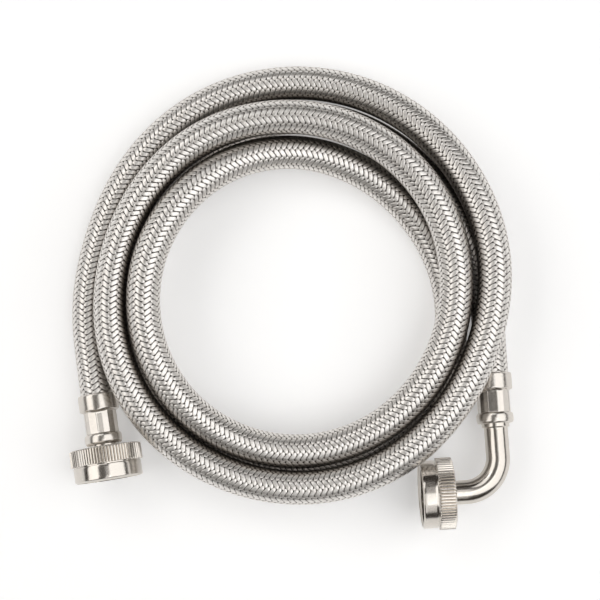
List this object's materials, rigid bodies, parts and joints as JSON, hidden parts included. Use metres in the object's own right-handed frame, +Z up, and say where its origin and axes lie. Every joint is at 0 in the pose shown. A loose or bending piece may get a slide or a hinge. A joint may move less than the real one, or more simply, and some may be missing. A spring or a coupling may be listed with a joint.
{
  "type": "braided supply line",
  "caption": "Coiled stainless-braided hose with a straight swivel hose nut on one end and a 90 degree elbow with a swivel hose nut on the other.",
  "frame": {"origin": "under the middle of the part's bounding box, on the surface that the coil lies on", "axes": "+Z up, square to the coil; +Y away from the two end fittings; +X towards the elbow end"},
  "size_m": [0.1894, 0.1982, 0.0341],
  "materials": {
    "braid": "woven stainless wire",
    "liner": "matte",
    "fitting": "satin nickel plate",
    "nut": "nickel-plated brass",
    "washer": "matte"
  },
  "bodies": {
    "hose": {"braid": "braid", "inner_tube": "liner", "ferrule_straight": "fitting", "ferrule_elbow": "fitting", "insert_straight": "fitting", "insert_elbow": "fitting"},
    "straight_seat": {"washer_straight": "washer"},
    "straight_nut": {"nut_straight": "nut"},
    "elbow_seat": {"washer_elbow": "washer"},
    "elbow_nut": {"nut_elbow": "nut"}
  },
  "joints": [
    {"name": "straight_nut_play", "type": "slide", "parent": "hose", "child": "straight_seat", "axis": [-0.1614, 0.977, -0.1392], "range_m": [0, 0.0006]},
    {"name": "straight_nut_spin", "type": "hinge", "parent": "straight_seat", "child": "straight_nut", "pos_m": [-0.07977, -0.06392, 0.01492], "axis": [0.1614, -0.977, 0.1392], "continuous": true},
    {"name": "elbow_nut_play", "type": "slide", "parent": "hose", "child": "elbow_seat", "axis": [0.9982, 0.0607, 0], "range_m": [0, 0.0006]},
    {"name": "elbow_nut_spin", "type": "hinge", "parent": "elbow_seat", "child": "elbow_nut", "pos_m": [0.06854, -0.0835, 0.0152], "axis": [-0.9982, -0.0607, 0], "continuous": true}
  ]
}
